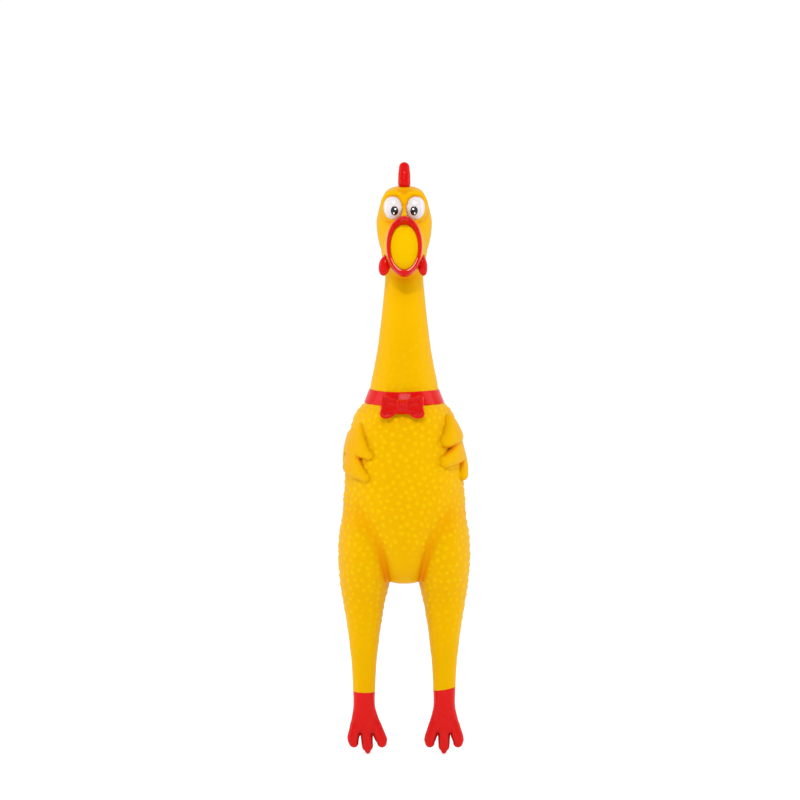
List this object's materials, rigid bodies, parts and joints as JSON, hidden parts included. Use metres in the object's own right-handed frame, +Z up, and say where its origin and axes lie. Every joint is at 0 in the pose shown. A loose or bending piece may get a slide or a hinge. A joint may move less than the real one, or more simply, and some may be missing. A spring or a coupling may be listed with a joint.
{
  "type": "rubber chicken squeaky toy",
  "caption": "Hollow yellow rubber chicken with an open red beak, bulging eyes, red collar with a bow, long legs and a reed squeaker.",
  "frame": {"origin": "middle of the torso, on the chicken's centre line, 140 mm above the toe tips, where a hand holds the toy", "axes": "+Z up from the toes to the comb, -Y out of the beak and belly, +X to the chicken's own left"},
  "size_m": [0.069, 0.0618, 0.3099],
  "materials": {
    "yellow_skin": "satin soft vinyl with raised skin bumps",
    "red_skin": "glossy red painted vinyl",
    "eye_white": "glossy white paint on vinyl",
    "eye_black": "glossy black paint on vinyl",
    "squeaker_plastic": "moulded hard plastic",
    "reed_film": "thin springy plastic film"
  },
  "bodies": {
    "torso": {"torso_skin": "yellow_skin", "squeaker_housing": "squeaker_plastic", "reed_block": "squeaker_plastic", "reed_wedge": "squeaker_plastic", "squeaker_cap": "squeaker_plastic", "collar_band": "red_skin", "bow_left_loop": "red_skin", "bow_right_loop": "red_skin", "bow_knot": "red_skin"},
    "belly": {"belly_panel": "yellow_skin"},
    "tail": {"tail": "yellow_skin"},
    "reed": {"squeaker_reed": "reed_film"},
    "neck_lower": {"neck_lower": "yellow_skin"},
    "neck_middle": {"neck_middle": "yellow_skin"},
    "neck_upper": {"neck_upper": "yellow_skin"},
    "head": {"head_skin": "yellow_skin", "beak_rim": "red_skin", "left_eyeball": "eye_white", "right_eyeball": "eye_white", "left_pupil": "eye_black", "right_pupil": "eye_black"},
    "comb": {"comb": "red_skin"},
    "left_wattle": {"left_wattle": "red_skin"},
    "right_wattle": {"right_wattle": "red_skin"},
    "left_wing": {"left_wing": "yellow_skin"},
    "right_wing": {"right_wing": "yellow_skin"},
    "left_thigh": {"left_thigh": "yellow_skin"},
    "right_thigh": {"right_thigh": "yellow_skin"},
    "left_shin": {"left_shin": "yellow_skin"},
    "right_shin": {"right_shin": "yellow_skin"},
    "left_foot": {"left_foot": "red_skin"},
    "right_foot": {"right_foot": "red_skin"}
  },
  "joints": [
    {"name": "neck_base_bend", "type": "hinge", "parent": "torso", "child": "neck_lower", "pos_m": [0, 0, 0.056], "axis": [1, 0, 0], "range_deg": [-25, 25], "stiffness_Nm_per_rad": 0.3},
    {"name": "neck_side_bend", "type": "hinge", "parent": "neck_lower", "child": "neck_middle", "pos_m": [0, 0, 0.078], "axis": [0, 1, 0], "range_deg": [-25, 25], "stiffness_Nm_per_rad": 0.18},
    {"name": "neck_twist", "type": "hinge", "parent": "neck_middle", "child": "neck_upper", "pos_m": [0, 0, 0.096], "axis": [0, 0, 1], "range_deg": [-40, 40], "stiffness_Nm_per_rad": 0.03},
    {"name": "head_nod", "type": "hinge", "parent": "neck_upper", "child": "head", "pos_m": [0, 0, 0.107], "axis": [1, 0, 0], "range_deg": [-25, 25], "stiffness_Nm_per_rad": 0.09},
    {"name": "comb_flex", "type": "hinge", "parent": "head", "child": "comb", "pos_m": [0, 0, 0.159], "axis": [0, 1, 0], "range_deg": [-18, 18], "stiffness_Nm_per_rad": 0.003},
    {"name": "left_wattle_swing", "type": "hinge", "parent": "head", "child": "left_wattle", "pos_m": [0.0097, -0.0102, 0.121], "axis": [-1, 0, 0], "range_deg": [-10, 25], "stiffness_Nm_per_rad": 0.0003},
    {"name": "right_wattle_swing", "type": "hinge", "parent": "head", "child": "right_wattle", "pos_m": [-0.0097, -0.0102, 0.121], "axis": [-1, 0, 0], "range_deg": [-10, 25], "stiffness_Nm_per_rad": 0.0003},
    {"name": "left_wing_flap", "type": "hinge", "parent": "torso", "child": "left_wing", "pos_m": [0.027, 0, 0.0375], "axis": [0, -1, 0], "range_deg": [0, 35], "stiffness_Nm_per_rad": 0.01},
    {"name": "right_wing_flap", "type": "hinge", "parent": "torso", "child": "right_wing", "pos_m": [-0.027, 0, 0.0375], "axis": [0, 1, 0], "range_deg": [0, 35], "stiffness_Nm_per_rad": 0.01},
    {"name": "left_hip_swing", "type": "hinge", "parent": "torso", "child": "left_thigh", "pos_m": [0.0143, 0, -0.0325], "axis": [-0.9336, 0, 0.3584], "range_deg": [-40, 55], "stiffness_Nm_per_rad": 0.15},
    {"name": "left_knee_bend", "type": "hinge", "parent": "left_thigh", "child": "left_shin", "pos_m": [0.021, 0, -0.079], "axis": [-1, 0, 0], "range_deg": [-40, 40], "stiffness_Nm_per_rad": 0.05},
    {"name": "left_ankle_flop", "type": "hinge", "parent": "left_shin", "child": "left_foot", "pos_m": [0.021, 0, -0.106], "axis": [-1, 0, 0], "range_deg": [-35, 35], "stiffness_Nm_per_rad": 0.02},
    {"name": "right_hip_swing", "type": "hinge", "parent": "torso", "child": "right_thigh", "pos_m": [-0.0143, 0, -0.0325], "axis": [-0.9336, 0, -0.3584], "range_deg": [-40, 55], "stiffness_Nm_per_rad": 0.15},
    {"name": "right_knee_bend", "type": "hinge", "parent": "right_thigh", "child": "right_shin", "pos_m": [-0.021, 0, -0.079], "axis": [-1, 0, 0], "range_deg": [-40, 40], "stiffness_Nm_per_rad": 0.05},
    {"name": "right_ankle_flop", "type": "hinge", "parent": "right_shin", "child": "right_foot", "pos_m": [-0.021, 0, -0.106], "axis": [-1, 0, 0], "range_deg": [-35, 35], "stiffness_Nm_per_rad": 0.02},
    {"name": "belly_squeeze", "type": "slide", "parent": "torso", "child": "belly", "axis": [0, 1, 0], "range_m": [0, 0.012], "stiffness_N_per_m": 60},
    {"name": "tail_flex", "type": "hinge", "parent": "torso", "child": "tail", "pos_m": [0, 0.022, -0.024], "axis": [1, 0, 0], "range_deg": [-12, 12], "stiffness_Nm_per_rad": 0.004},
    {"name": "reed_flutter", "type": "hinge", "parent": "torso", "child": "reed", "pos_m": [0, -0.0001, -0.0389], "axis": [1, 0, 0], "range_deg": [-6, 1.8], "stiffness_Nm_per_rad": 0.00002}
  ]
}
